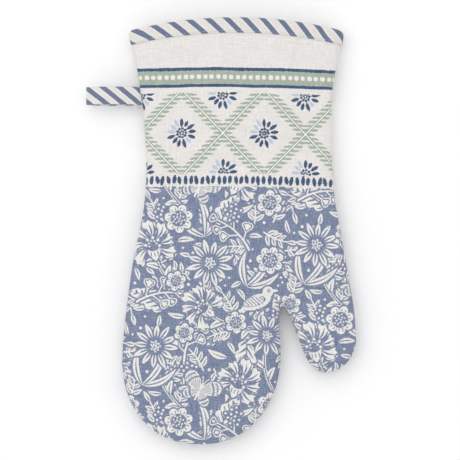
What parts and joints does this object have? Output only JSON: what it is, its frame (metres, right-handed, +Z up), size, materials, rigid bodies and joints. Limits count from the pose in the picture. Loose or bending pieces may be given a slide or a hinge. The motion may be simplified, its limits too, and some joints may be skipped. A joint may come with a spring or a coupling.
{
  "type": "oven mitt",
  "caption": "Padded fabric oven mitt with a thumb, a striped bound cuff and a side hanging loop, lying flat on its back panel.",
  "frame": {"origin": "centre of the whole object's box, hanging loop included, at the level of the surface that the mitt lies on", "axes": "+X towards the thumb side, +Y towards the cuff, +Z up out of the palm side"},
  "size_m": [0.2086, 0.33, 0.024],
  "materials": {
    "printed_cloth": "matt woven cotton and linen, cream ground, dusty blue botanical print",
    "wadding": "soft fibre wadding",
    "lining": "plain matt woven cotton",
    "striped_tape": "matt woven cotton, cream with diagonal dusty blue stripes",
    "thread": "spun sewing thread"
  },
  "bodies": {
    "palm": {"front_shell_palm": "printed_cloth", "front_wadding_palm": "wadding", "front_lining_palm": "lining", "back_shell_palm": "printed_cloth", "back_wadding_palm": "wadding", "back_lining_palm": "lining", "cuff_binding": "striped_tape", "binding_stitching": "thread", "hanging_loop_tail": "striped_tape"},
    "fingers": {"front_shell_fingers": "printed_cloth", "front_wadding_fingers": "wadding", "front_lining_fingers": "lining", "back_shell_fingers": "printed_cloth", "back_wadding_fingers": "wadding", "back_lining_fingers": "lining"},
    "thumb": {"front_shell_thumb": "printed_cloth", "front_wadding_thumb": "wadding", "front_lining_thumb": "lining", "back_shell_thumb": "printed_cloth", "back_wadding_thumb": "wadding", "back_lining_thumb": "lining"},
    "loop": {"hanging_loop": "striped_tape"}
  },
  "joints": [
    {"name": "finger_fold", "type": "hinge", "parent": "palm", "child": "fingers", "pos_m": [0, -0.08, 0.024], "axis": [-1, 0, 0], "range_deg": [0, 60]},
    {"name": "thumb_fold", "type": "hinge", "parent": "palm", "child": "thumb", "pos_m": [0.04985, -0.0601, 0.024], "axis": [-0.6984, -0.7157, 0], "range_deg": [0, 50]},
    {"name": "loop_swing", "type": "hinge", "parent": "palm", "child": "loop", "pos_m": [-0.0636, 0.1045, 0.012], "axis": [-0.134, 0.991, 0], "range_deg": [-90, 90]}
  ]
}
